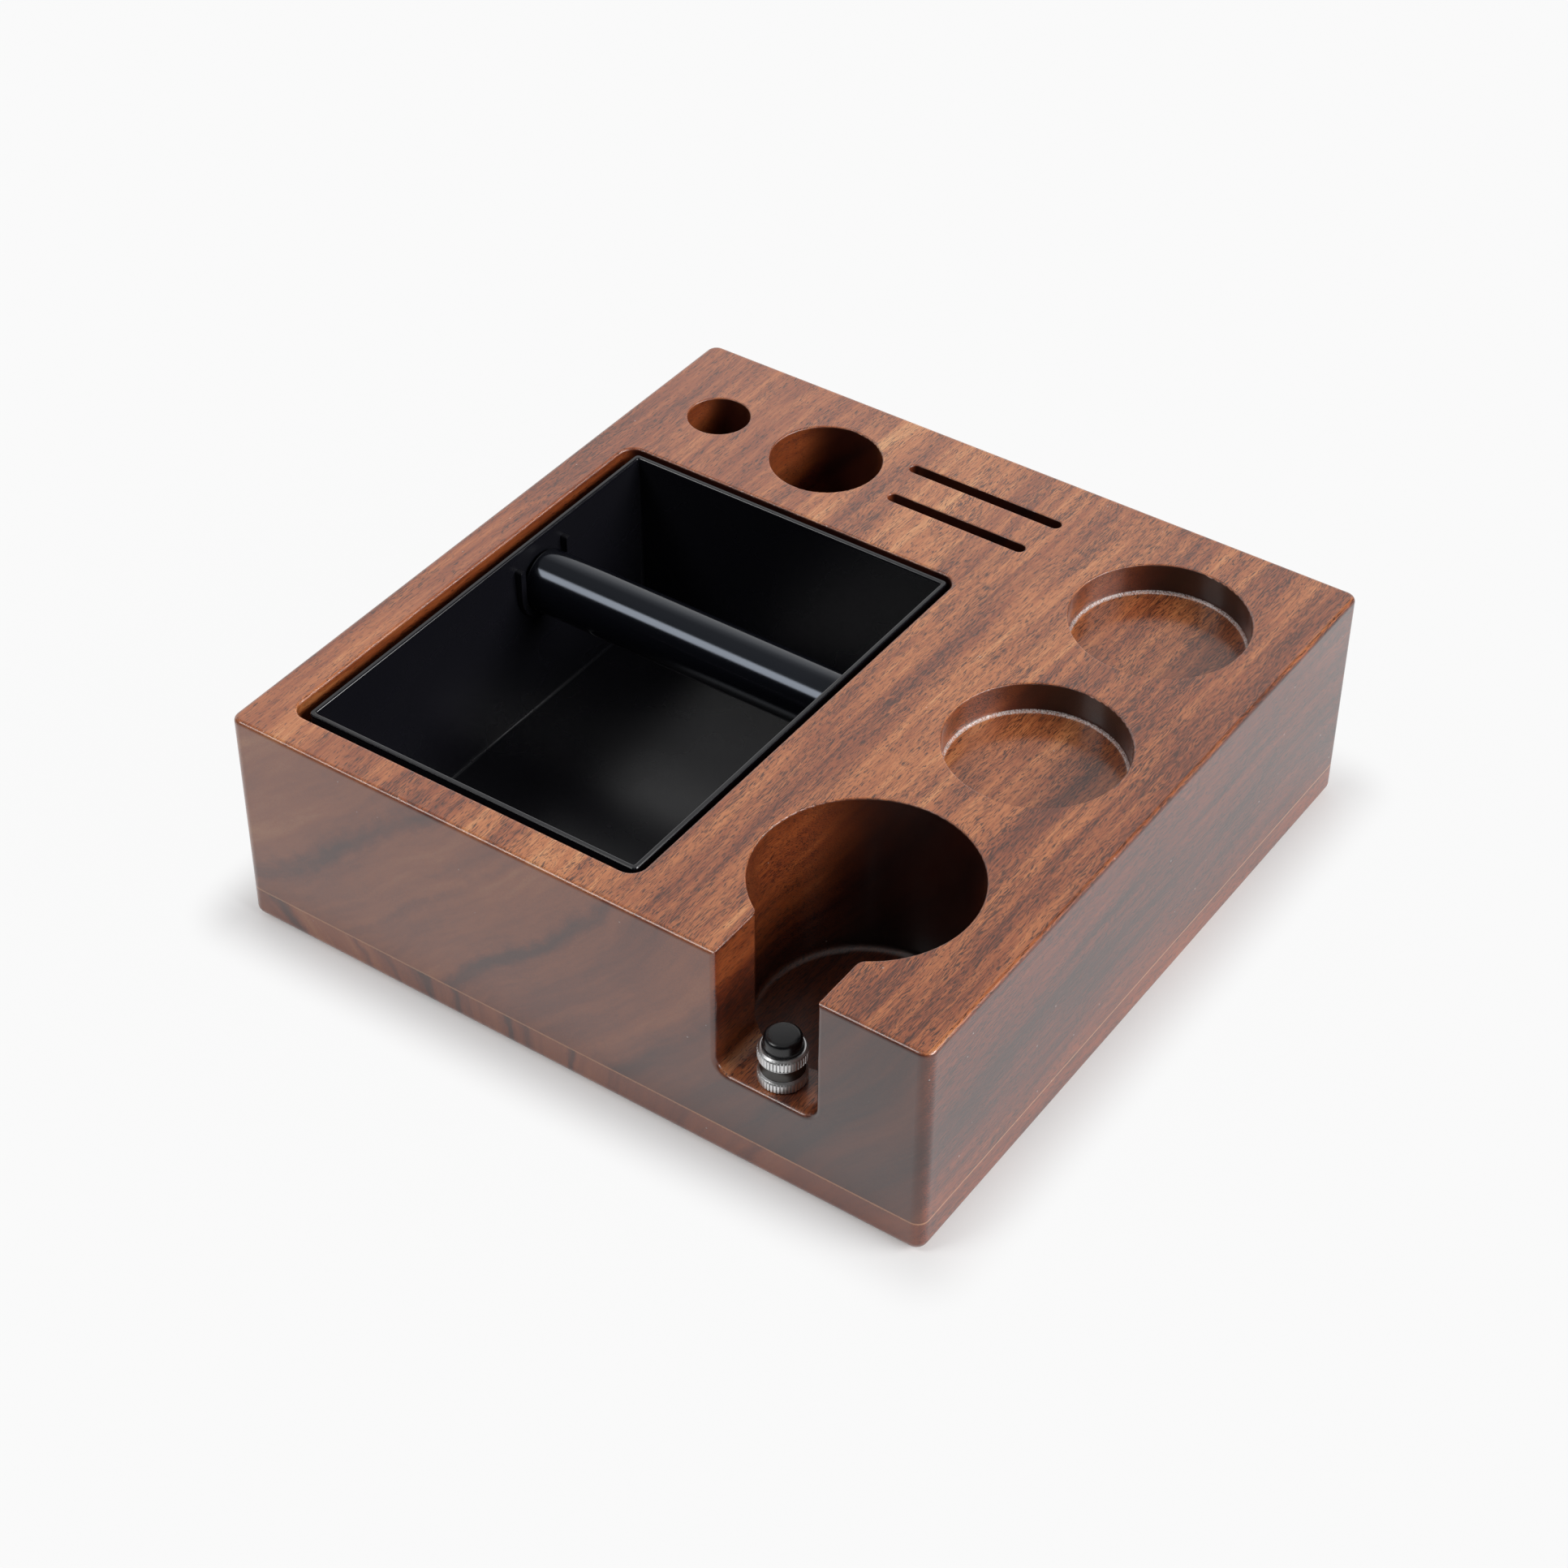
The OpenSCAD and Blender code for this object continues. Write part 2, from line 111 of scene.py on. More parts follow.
# %% [markdown]
# The camera stands where the photographer's did: in front, to the right and about 40 degrees
# up, with a long lens. A picture's straight edges and round rims fix such a place closely.
# Writing down its three axes is more exact here than aiming the camera at a target.

# %% Camera
TURN, TILT, ROLL = (math.radians(a) for a in (34.385, 40.550, 0.453))
PLACE = (0.46347, -0.69017, 0.73979)
LENS, SENSOR = 76.06, 36.0
back = Vector((math.sin(TURN) * math.cos(TILT), -math.cos(TURN) * math.cos(TILT), math.sin(TILT)))
across = Vector((math.cos(TURN), math.sin(TURN), 0))
upward = back.cross(across)
across, upward = (
    math.cos(ROLL) * across + math.sin(ROLL) * upward,
    math.cos(ROLL) * upward - math.sin(ROLL) * across,
)
camera = place_object("Camera", bpy.data.cameras.new("Camera"))
camera.matrix_world = Matrix((across, upward, back)).transposed().to_4x4()
camera.location = PLACE
camera.data.lens = LENS
camera.data.sensor_width = SENSOR
camera.data.sensor_fit = "HORIZONTAL"
camera.data.clip_start = 0.01
bpy.context.scene.camera = camera
print("camera looks along", tuple(round(-v, 3) for v in back))

# %% [markdown]
# The studio's lamps are upright rectangles with soft edges, drawn into the world by direction
# alone, so the floor is lit evenly however large it is. Inside a rectangle, a ray's offset to
# the side and upward, divided by its depth, is less than half the width and the height.


# %% Softbox
def softbox(tree, ray, turn, rise, half_width, half_height, edge):
    """1 inside a rectangle of light that is turned from +X and raised, both in degrees.
    Its half sizes, and the edge over which it fades, are seen from a distance of 1."""
    turn, rise = math.radians(turn), math.radians(rise)
    level = math.cos(rise)
    ahead = Vector((level * math.cos(turn), level * math.sin(turn), math.sin(rise)))
    side = ahead.cross(Vector((0, 0, 1))).normalized()
    top = side.cross(ahead)
    depth = add(tree, "ShaderNodeVectorMath", {0: ray, 1: ahead}, operation="DOT_PRODUCT")
    inside = add(tree, "ShaderNodeMath", {0: depth, 1: 0.05}, operation="GREATER_THAN")
    for axis, half in ((side, half_width), (top, half_height)):
        off = add(tree, "ShaderNodeVectorMath", {0: ray, 1: axis}, operation="DOT_PRODUCT")
        off = add(tree, "ShaderNodeMath", {0: off, 1: depth}, operation="DIVIDE")
        off = add(tree, "ShaderNodeMath", {0: off}, operation="ABSOLUTE")
        within = add(tree, "ShaderNodeMapRange",
                     {"Value": off, "From Min": half - edge, "From Max": half + edge,
                      "To Min": 1.0, "To Max": 0.0}, interpolation_type="SMOOTHSTEP")
        inside = add(tree, "ShaderNodeMath", {0: inside, 1: within}, operation="MULTIPLY")
    return inside


# %% [markdown]
# A large softbox stands low at the right, behind the box, and a small one high at the front
# left. The bar mirrors both, and a dim white wall behind it at the left. The strengths add up
# to an even, plain level, at which colours come out about as written. The camera itself sees
# a plain pale backdrop behind the floor.

# %% Studio
PAPER = linear("#fafafa")
ROOM_GLOW = 0.02
# For each: strength, turn, rise, half width, half height and soft edge
LAMPS = {
    "large softbox": (11.0, 14, 27, 0.42, 0.19, 0.05),
    "small softbox": (8.0, -130, 46, 0.19, 0.15, 0.05),
    "white wall": (1.05, 135, 14, 1.20, 0.60, 0.32),
    "ceiling": (0.40, 0, 89.9, 0.70, 0.70, 0.25),
}
world = bpy.data.worlds.new("Studio")
bpy.context.scene.world = world
world.use_nodes = True
tree = world.node_tree
tree.nodes.clear()
ray = add(tree, "ShaderNodeTexCoord").outputs["Generated"]
glow = ROOM_GLOW
for strength, *shape in LAMPS.values():
    patch = softbox(tree, ray, *shape)
    glow = add(tree, "ShaderNodeMath", {0: patch, 1: strength, 2: glow},
               operation="MULTIPLY_ADD")
lit = add(tree, "ShaderNodeBackground", {"Color": (1, 1, 1, 1), "Strength": glow})
seen = add(tree, "ShaderNodeBackground", {"Color": PAPER, "Strength": 1.0})
eye = add(tree, "ShaderNodeLightPath").outputs["Is Camera Ray"]
mixed = add(tree, "ShaderNodeMixShader", {0: eye, 1: lit, 2: seen})
add(tree, "ShaderNodeOutputWorld", {"Surface": mixed})
bpy.context.scene.view_settings.view_transform = "Standard"
print("studio nodes:", len(tree.nodes))

# %% [markdown]
# The floor is one large sheet of matt paper. To the camera and in reflections it goes over
# into plain paper white with the distance from the box, as on an even backdrop, so the
# soft shadow stays close to the box. In reflections its right part is dimmer, as in a studio
# that is darker there. Everything else is lit by the paper as it is.

# %% Floor
HALF_FLOOR, HALF_BOX = 6, 0.13
FADE_FROM, FADE_TO = -0.004, 0.024  # distance from the box's sides, in m
RIGHT_FROM, RIGHT_TO, RIGHT_LEVEL = 0.10, 0.16, 0.38
corners = [(x * HALF_FLOOR, y * HALF_FLOOR, 0) for x, y in ((-1, -1), (1, -1), (1, 1), (-1, 1))]
mesh = bpy.data.meshes.new("Floor")
mesh.from_pydata(corners, [], [(0, 1, 2, 3)])
floor = place_object("Floor", mesh)
paper, tree = blank_material("Matt white paper")
place = add(tree, "ShaderNodeTexCoord").outputs["Object"]
outside = add(tree, "ShaderNodeVectorMath", {0: place}, operation="ABSOLUTE")
outside = add(tree, "ShaderNodeVectorMath", {0: outside, 1: (HALF_BOX, HALF_BOX, 0.0)},
              operation="SUBTRACT")
outside = add(tree, "ShaderNodeVectorMath", {0: outside, 1: (0.0, 0.0, 0.0)},
              operation="MAXIMUM")
away = add(tree, "ShaderNodeVectorMath", {0: outside}, operation="LENGTH").outputs["Value"]
plain = add(tree, "ShaderNodeMapRange",
            {"Value": away, "From Min": FADE_FROM, "From Max": FADE_TO,
             "To Min": 0.2, "To Max": 0.99}, interpolation_type="SMOOTHSTEP")
sideways = add(tree, "ShaderNodeSeparateXYZ", {0: place}).outputs["X"]
mirrored = add(tree, "ShaderNodeMapRange",
               {"Value": sideways, "From Min": RIGHT_FROM, "From Max": RIGHT_TO,
                "To Min": 1.0, "To Max": RIGHT_LEVEL})
path = add(tree, "ShaderNodeLightPath")
looked_at = path.outputs["Is Camera Ray"]
for other in ("Is Glossy Ray", "Is Transmission Ray"):
    partly = add(tree, "ShaderNodeMath", {0: path.outputs[other], 1: mirrored},
                 operation="MULTIPLY")
    looked_at = add(tree, "ShaderNodeMath", {0: looked_at, 1: partly}, operation="MAXIMUM")
whiteness = add(tree, "ShaderNodeMath", {0: plain, 1: looked_at}, operation="MULTIPLY")
matt = add(tree, "ShaderNodeBsdfDiffuse", {"Color": (0.90, 0.90, 0.90, 1), "Roughness": 0.0})
white = add(tree, "ShaderNodeEmission", {"Color": PAPER, "Strength": 1.0})
sheet = add(tree, "ShaderNodeMixShader", {0: whiteness, 1: matt, 2: white})
add(tree, "ShaderNodeOutputMaterial", {"Surface": sheet})
mesh.materials.append(paper)
print("floor size in m:", tuple(floor.dimensions))

# %% [markdown]
# The block is a brown tropical hardwood, sold as walnut, under satin lacquer. Wood is a solid
# pattern, so it is drawn in three dimensions and cut open by every face, as the real thing is.
# First come its coordinates. The rings run round a heart line along Y, far outside the block,
# so they slant across the front. The board's stave was sawn so that its rings fan out from a
# line below it. Two wanders make the trunk uneven and let the fibres lean to and fro.

# %% Ring coordinates
MIDDLE_HEIGHT = 43


def ring_coordinates(tree, point, heart, fan):
    """Millimetres across the rings, along the grain and round the heart (x, z)."""
    from_heart = add(tree, "ShaderNodeVectorMath",
                     {0: point, 1: (heart[0], 0.0, heart[1])}, operation="SUBTRACT")
    x, y, z = add(tree, "ShaderNodeSeparateXYZ", {0: from_heart}).outputs
    flat = add(tree, "ShaderNodeVectorMath", {0: from_heart, 1: (1.0, 0.0, 1.0)},
               operation="MULTIPLY")
    reach = math.hypot(heart[0], heart[1] - MIDDLE_HEIGHT)
    length = add(tree, "ShaderNodeVectorMath", {0: flat}, operation="LENGTH").outputs["Value"]
    outward = add(tree, "ShaderNodeMath", {0: length, 1: reach}, operation="SUBTRACT")
    angle = add(tree, "ShaderNodeMath", {0: x, 1: z}, operation="ARCTAN2")
    around = add(tree, "ShaderNodeMath", {0: angle, 1: reach}, operation="MULTIPLY")
    first, last = (around, outward) if fan else (outward, around)
    return first, add(tree, "ShaderNodeCombineXYZ", {"X": first, "Y": y, "Z": last})


def wander(tree, point, size, reach):
    """Moves a pattern sideways by up to about reach mm, over distances of size mm."""
    scaled = add(tree, "ShaderNodeVectorMath", {0: point, 1: [1 / s for s in size]},
                 operation="MULTIPLY")
    noise = add(tree, "ShaderNodeTexNoise", {"Vector": scaled, "Scale": 1.0, "Detail": 2.0})
    centred = add(tree, "ShaderNodeVectorMath",
                  {0: noise.outputs["Color"], 1: (0.5, 0.5, 0.5)}, operation="SUBTRACT")
    return add(tree, "ShaderNodeVectorMath",
               {0: centred, 1: (4 * reach, 0.0, 4 * reach), 2: point}, operation="MULTIPLY_ADD")


# %% [markdown]
# The tone of the wood is a sum of noises, each stretched along the grain: broad growth bands,
# narrow ones and fine streaks. On them lie the dark rings, at chosen places, because the eye
# knows a piece of wood by these. A colour ramp turns the ring coordinate into their darkness,
# and a jagged noise frays their edges. The rings are stronger on the walls than on the top,
# where the far left is a little darker instead.

# %% Tone
PLACES = 125.0  # the rings' places run from minus this to plus this, in mm
FRAY = 14.0     # weight of the jagged noise, in mm
# For each noise: the coordinates that it follows, its size in mm and its detail
LAYERS = {
    "broad": ("ring", (16, 400, 150), 2.0),
    "narrow": ("ring", (2.6, 50, 20), 3.0),
    "streak": ("fibre", (0.5, 14, 0.5), 2.0),
    "jag": ("ring", (5, 40, 7), 3.0),
    "pore": ("fibre", (0.22, 3.2, 0.22), 1.0),
    "grain": ("fibre", (0.45, 0.45, 0.45), 1.0),
}


def wood_tone(tree, point, fibre, heart, fan, rings, calm, wall, shift):
    """The wood's tone round 0.5, with the sockets of its layers."""
    across_rings, ring = ring_coordinates(tree, point, heart, fan)
    layers = {}
    for key, (source, size, detail) in LAYERS.items():
        source = ring if source == "ring" else fibre
        scaled = add(tree, "ShaderNodeVectorMath",
                     {0: source, 1: [1 / s for s in size], 2: shift}, operation="MULTIPLY_ADD")
        noise = add(tree, "ShaderNodeTexNoise",
                    {"Vector": scaled, "Scale": 1.0, "Detail": detail, "Roughness": 0.55})
        layers[key] = add(tree, "ShaderNodeMath", {0: noise, 1: 0.5}, operation="SUBTRACT")

    fray = add(tree, "ShaderNodeMath", {0: layers["jag"], 1: calm}, operation="MULTIPLY")
    frayed = add(tree, "ShaderNodeMath", {0: fray, 1: FRAY, 2: across_rings},
                 operation="MULTIPLY_ADD")
    layers["place"] = add(tree, "ShaderNodeMapRange",
                          {"Value": frayed, "From Min": -PLACES, "From Max": PLACES})
    belt = add(tree, "ShaderNodeValToRGB", {"Fac": layers["place"]})
    belt.color_ramp.interpolation = "EASE"
    stops = belt.color_ramp.elements
    stops[0].color = stops[1].color = (0, 0, 0, 1)
    for at, level in rings:
        stops.new((at + PLACES) / (2 * PLACES)).color = (level, level, level, 1)
    belt = add(tree, "ShaderNodeSeparateColor", {0: belt}).outputs[0]
    on_belt = add(tree, "ShaderNodeMapRange", {"Value": wall, "To Min": -0.045, "To Max": -0.12})
    layers["left"] = add(tree, "ShaderNodeMapRange",
                         {"Value": layers["place"], "From Min": 0.28, "From Max": 0.17})
    on_left = add(tree, "ShaderNodeMapRange", {"Value": wall, "To Min": -0.045, "To Max": 0.0})

    small = add(tree, "ShaderNodeMath", {0: layers["streak"], 1: 0.6, 2: layers["narrow"]},
                operation="MULTIPLY_ADD")
    small = add(tree, "ShaderNodeMath", {0: small, 1: calm}, operation="MULTIPLY")
    tone = 0.5
    for part, weight in ((layers["broad"], 0.29), (small, 0.27), (belt, on_belt),
                         (layers["left"], on_left)):
        tone = add(tree, "ShaderNodeMath", {0: part, 1: weight, 2: tone},
                   operation="MULTIPLY_ADD")
    return tone, layers


# %% [markdown]
# A face's direction and place say how it was made. Where the cutter or the saw went across
# the fibres, the wood drinks more stain. The walls inside get a painted shade that makes them
# warmer and a little darker, and their end-grain walls much darker. The outer side walls follow
# the fibres and get a painted shade that makes them darker and redder. Low inside, a painted
# shade makes everything darker.


# %% Masks
def face_masks(tree, normal, point):
    """Masks for upright faces, cut fibres, walls inside, low places and fillets, each from 0
    to 1, and the height in mm. The masks of side walls, walls inside and low places carry painted
    shade."""
    normal = add(tree, "ShaderNodeVectorMath", {0: normal}, operation="ABSOLUTE")
    _, toward_y, toward_z = add(tree, "ShaderNodeSeparateXYZ", {0: normal}).outputs
    wall = add(tree, "ShaderNodeMapRange", {"Value": toward_z, "From Min": 0.85, "From Max": 0.35},
               interpolation_type="SMOOTHSTEP")
    end = add(tree, "ShaderNodeMapRange", {"Value": toward_y, "From Min": 0.45, "From Max": 0.95},
              interpolation_type="SMOOTHSTEP")

    # The outer faces are 130 mm from the middle, and inside begins at 126 mm
    inward = add(tree, "ShaderNodeVectorMath", {0: point}, operation="ABSOLUTE")
    inward = add(tree, "ShaderNodeSeparateXYZ", {0: inward})
    inward = add(tree, "ShaderNodeMath", {0: inward.outputs["X"], 1: inward.outputs["Y"]},
                 operation="MAXIMUM")
    inner = add(tree, "ShaderNodeMapRange",
                {"Value": inward, "From Min": 129.5, "From Max": 126.0})
    # Painted shade: the walls inside are made warmer and a little darker
    cut = add(tree, "ShaderNodeMath", {0: inner, 1: wall}, operation="MULTIPLY")
    # Painted shade: the outer side walls are made darker and redder
    side = add(tree, "ShaderNodeMath", {0: wall, 1: end}, operation="SUBTRACT", use_clamp=True)
    side = add(tree, "ShaderNodeMath", {0: side, 1: cut}, operation="SUBTRACT", use_clamp=True)
    # Painted shade: the end-grain walls inside are made much darker
    inner_end_shade = add(tree, "ShaderNodeMath", {0: cut, 1: end}, operation="MULTIPLY")
    height = add(tree, "ShaderNodeSeparateXYZ", {0: point}).outputs["Z"]
    # Painted shade: low inside, below 33 mm, everything is made darker
    deep = add(tree, "ShaderNodeMapRange", {"Value": height, "From Min": 33.0, "From Max": 22.0})
    deep = add(tree, "ShaderNodeMath", {0: deep, 1: inner}, operation="MULTIPLY")

    # A fillet inside bends from floor to wall
    bent = add(tree, "ShaderNodeMath", {0: toward_z, 1: 0.62, 2: 0.32}, operation="COMPARE")
    bent = add(tree, "ShaderNodeMath", {0: bent, 1: inner}, operation="MULTIPLY")
    return {"wall": wall, "end": end, "cut": cut, "side": side, "inner_end_shade": inner_end_shade,
            "height": height, "deep": deep, "bent": bent}


def pore_mask(tree, tone, layers):
    """1 in the pores, which crowd where the wood is dark and are few at the far left."""
    crowd = layers["pore"]
    for part, weight in ((tone, -0.6), (layers["jag"], 0.32), (layers["left"], -0.06)):
        crowd = add(tree, "ShaderNodeMath", {0: part, 1: weight, 2: crowd},
                    operation="MULTIPLY_ADD")
    crowd = add(tree, "ShaderNodeMath", {0: crowd, 1: 0.288}, operation="ADD")
    return add(tree, "ShaderNodeMapRange", {"Value": crowd, "From Min": 0.040, "From Max": 0.070},
               interpolation_type="SMOOTHSTEP")


# %% [markdown]
# Open pores are dark dashes, about 0.2 mm across and 3 mm long. Specks of dust are caught in
# the lacquer, and a pale line of glue shows at the board's upper edge. In the fillets of the
# two recesses a grainy whitish band is painted on, a painted highlight where they mirror the
# lamps. It is a satin coat with an index of about 1.5 over rougher wood. The coat levels the
# pores out, so it mirrors the studio softly, but in the fillets inside it is grainy.


# %% Lacquered wood
SHADES = ((0.35, "#662b14"), (0.44, "#9a5029"), (0.53, "#bf7341"), (0.62, "#dfa26b"))
# The painted highlight lies in the recesses' fillets, at this height
RECESS_FILLET = (72.1, 0.48)  # its middle height and half its height, in mm


def hardwood(name, heart, fan, rings, wall_tint, end_tint, seam, shift):
    """Wood with its grain along Y and dark rings at (place, level). The seam of glue is at a
    height in mm, and the shift moves the pattern."""
    material, tree = blank_material(name)
    place = add(tree, "ShaderNodeTexCoord")
    point = add(tree, "ShaderNodeVectorMath", {0: place.outputs["Object"], "Scale": 1000.0},
                operation="SCALE")
    trunk = wander(tree, point, (80, 300, 80), 5)
    fibre = wander(tree, trunk, (8, 22, 8), 0.7)
    masks = face_masks(tree, place.outputs["Normal"], point)
    wall, end = masks["wall"], masks["end"]
    calm = add(tree, "ShaderNodeMapRange", {"Value": end, "To Min": 1.0, "To Max": 0.42})
    tone, layers = wood_tone(tree, trunk, fibre, heart, fan, rings, calm, wall, shift)
    ramp = add(tree, "ShaderNodeValToRGB", {"Fac": tone})
    stops = ramp.color_ramp.elements
    for stop, (at, shade) in zip(stops, (SHADES[0], SHADES[-1])):
        stop.position, stop.color = at, linear(shade)
    for at, shade in SHADES[1:-1]:
        stops.new(at).color = linear(shade)

    # Where each colour lies over the wood
    pores = pore_mask(tree, tone, layers)
    shown = add(tree, "ShaderNodeMapRange", {"Value": end, "To Min": 0.86, "To Max": 0.22})
    shown = add(tree, "ShaderNodeMath", {0: shown, 1: pores}, operation="MULTIPLY")
    dim = add(tree, "ShaderNodeMapRange",
              {"Value": layers["place"], "From Min": 0.56, "From Max": 0.74},
              interpolation_type="SMOOTHSTEP")
    dim = add(tree, "ShaderNodeMath", {0: dim, 1: end}, operation="MULTIPLY")
    glue = add(tree, "ShaderNodeMath", {0: layers["grain"], 1: 0.8, 2: masks["height"]},
               operation="MULTIPLY_ADD")
    glue = add(tree, "ShaderNodeMath", {0: glue, 1: seam, 2: 0.35}, operation="COMPARE")
    glue = add(tree, "ShaderNodeMath", {0: glue, 1: 0.6}, operation="MULTIPLY")
    spot = add(tree, "ShaderNodeTexVoronoi", {"Vector": point, "Scale": 0.13})
    chosen = add(tree, "ShaderNodeSeparateColor", {0: spot.outputs["Color"]}).outputs[0]
    near = add(tree, "ShaderNodeMath", {0: chosen, 1: 0.045}, operation="MULTIPLY")
    dust = add(tree, "ShaderNodeMath", {0: spot.outputs["Distance"], 1: near},
               operation="LESS_THAN")
    dust = add(tree, "ShaderNodeMath", {0: dust, 1: 0.35}, operation="MULTIPLY")
    # A painted highlight: a grainy whitish band in the recesses' fillets, where they mirror the
    # lamps
    middle, half = RECESS_FILLET
    fillet_highlight_band = add(tree, "ShaderNodeMath", {0: masks["height"], 1: middle, 2: half},
                 operation="COMPARE")
    fillet_highlight_band = add(tree, "ShaderNodeMath", {0: masks["bent"], 1: fillet_highlight_band}, operation="MULTIPLY")
    painted_highlight = add(tree, "ShaderNodeMath", {0: layers["grain"], 1: 1.9, 2: 0.36},
                  operation="MULTIPLY_ADD")
    painted_highlight = add(tree, "ShaderNodeMath", {0: painted_highlight, 1: fillet_highlight_band}, operation="MULTIPLY",
                  use_clamp=True)

    # A stain or a painted shade multiplies the colour below it; a cover or a painted highlight
    # hides it
    colour = ramp
    for mask, blend_type, tint in (
        (shown, "MIX", "#3a180a"), (wall, "MULTIPLY", wall_tint), (dim, "MULTIPLY", end_tint),
        # The next four tints are painted shade on the walls and low places
        (masks["side"], "MULTIPLY", "#e4c4ac"), (masks["cut"], "MULTIPLY", "#fff0d8"),
        (masks["inner_end_shade"], "MULTIPLY", "#6c5646"), (masks["deep"], "MULTIPLY", "#907868"),
        # The last of these covers is the painted highlight in the fillets
        (glue, "MIX", "#c08a62"), (dust, "MIX", "#d8cfc8"), (painted_highlight, "MIX", "#d9d3d0"),
    ):
        colour = add(tree, "ShaderNodeMix", {"Factor": mask, "A": colour, "B": linear(tint)},
                     data_type="RGBA", blend_type=blend_type)

    height = add(tree, "ShaderNodeMath", {0: layers["streak"], 1: pores}, operation="SUBTRACT")
    relief = add(tree, "ShaderNodeBump", {"Strength": 0.3, "Distance": 0.0001, "Height": height})
    grainy = add(tree, "ShaderNodeMath", {0: masks["bent"], 1: layers["grain"]},
                 operation="MULTIPLY")
    skin = add(tree, "ShaderNodeBump", {"Strength": 1.0, "Distance": 0.00018, "Height": grainy})
    surface = add(tree, "ShaderNodeBsdfPrincipled",
                  {"Base Color": colour, "Roughness": 0.45, "IOR": 1.5, "Normal": relief,
                   "Coat Weight": 1.0, "Coat Roughness": 0.18, "Coat IOR": 1.5,
                   "Coat Normal": skin})
    add(tree, "ShaderNodeOutputMaterial", {"Surface": surface})
    return material


# %% [markdown]
# The dark rings of the block were read off its front and its top, where each ring shows up
# twice. Their places count in mm from the block's middle, across the rings, and grow from the
# upper left to the lower right. The block's seam is set below the floor, so it has none.

# %% Wood of the block and the board
BLOCK_RINGS = (
    (-71, 0), (-65, 0.9), (-60, 0), (-43, 0), (-40, 0.4), (-36, 0), (-17, 0), (-12, 1.0),
    (-7, 0.1), (3, 0.3), (9, 0.1), (14, 0.0), (26, 0.0), (31, 0.4), (37, 1.0), (46, 0.2),
    (55, 0.7), (62, 0.4), (72, 0.7), (82, 0.8), (100, 0.5), (118, 0.7),
)
BOARD_RINGS = (
    (-121, 0.2), (-117, 1.2), (-114, 0), (-97, 0), (-94, 1.0), (-92, 0), (-84, 0.7), (-82, 0),
    (-75, 0), (-72, 1.2), (-69, 0), (-61, 0), (-58, 1.0), (-55, 0), (-33, 0), (-30, 1.3),
    (-26, 0.1), (-20, 0.7), (-18, 0), (2, 0), (5, 1.2), (8, 0), (30, 0.2), (80, 0), (84, 0.8),
    (88, 0),
)
block_wood = hardwood("Lacquered walnut block", heart=(-335, 341), fan=False,
                      rings=BLOCK_RINGS, wall_tint="#bcaaa4", end_tint="#ccc2c0",
                      seam=-5.0, shift=(0.0, 0.0, 0.0))
board_wood = hardwood("Lacquered walnut board", heart=(0, -90), fan=True,
                      rings=BOARD_RINGS, wall_tint="#c4b0a8", end_tint="#ecdcd4",
                      seam=12.7, shift=(31.0, 17.0, 5.0))
dress("main_block", block_wood)
dress("base_board", board_wood)
print("wood nodes:", len(block_wood.node_tree.nodes))

# %% [markdown]
# The rest's nut is a turned spool with a straight knurl on both rings, and a rubber cap sits
# on it. Both are lathe shapes: one outline, turned round the axis, with the bore for the stud
# and the socket for the cap's peg. The outlines are in mm and start from the solids' boxes.
# The nut's rings are turned down to the foot of the grooves, and the teeth come later.


# %% Lathe
def lathe(name, outline, steps, axis):
    """Turns an outline of (radius, height) in mm round an upright axis, and closes its ends."""
    points = []
    for step in range(steps):
        turn = math.tau * step / steps
        for radius, height in outline:
            points.append((MM * (axis[0] + radius * math.cos(turn)),
                           MM * (axis[1] + radius * math.sin(turn)), MM * height))
    rows = len(outline)
    starts = [step * rows for step in range(steps)]
    faces = [starts[::-1], [start + rows - 1 for start in starts]]
    for here, following in zip(starts, starts[1:] + starts[:1]):
        for row in range(rows - 1):
            faces.append((here + row, following + row, following + row + 1, here + row + 1))
    mesh = bpy.data.meshes.new(name)
    mesh.from_pydata(points, [], faces)
    return place_object(name, mesh)


STEPS = 96
RING, BEVEL, GROOVE = 4.4, 0.6, 0.3
WAIST_HOLLOW, WAIST_STEPS = 0.45, 12
BORE, BORE_DEPTH = 3.05, 8
SOCKET, SOCKET_DEPTH = 3.95, 2.65
LEDGE = 0.1  # of full radius, under the upper ring
low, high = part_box("rest_nut")
AXIS = (500 * (low[0] + high[0]), 500 * (low[1] + high[1]))
BOTTOM, TOP, RADIUS = 1000 * low[2], 1000 * high[2], 500 * (high[0] - low[0])
WAIST = TOP - BOTTOM - 2 * RING
root, slope = RADIUS - GROOVE, RADIUS - BEVEL
outline = [(BORE, BOTTOM + BORE_DEPTH), (BORE, BOTTOM), (root, BOTTOM),
           (root, BOTTOM + RING - BEVEL), (RADIUS, BOTTOM + RING - BEVEL)]
for step in range(WAIST_STEPS + 1):
    hollow = WAIST_HOLLOW * math.sin(math.pi * step / WAIST_STEPS)
    outline.append((slope - hollow, BOTTOM + RING + WAIST * step / WAIST_STEPS))
outline += [(RADIUS, TOP - RING), (RADIUS, TOP - RING + LEDGE), (root, TOP - RING + LEDGE),
            (root, TOP - BEVEL), (RADIUS, TOP - BEVEL), (slope, TOP),
            (SOCKET, TOP), (SOCKET, TOP - SOCKET_DEPTH)]
nut = lathe("knurled_nut", outline, STEPS, AXIS)

PEG, CROWN_FLAT, DOME, DOME_STEPS = 3.9, 4.3, 1.65, 8
low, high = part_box("rest_cap")
peg_end, rim, crown = 1000 * low[2], 500 * (high[0] - low[0]), 1000 * high[2]
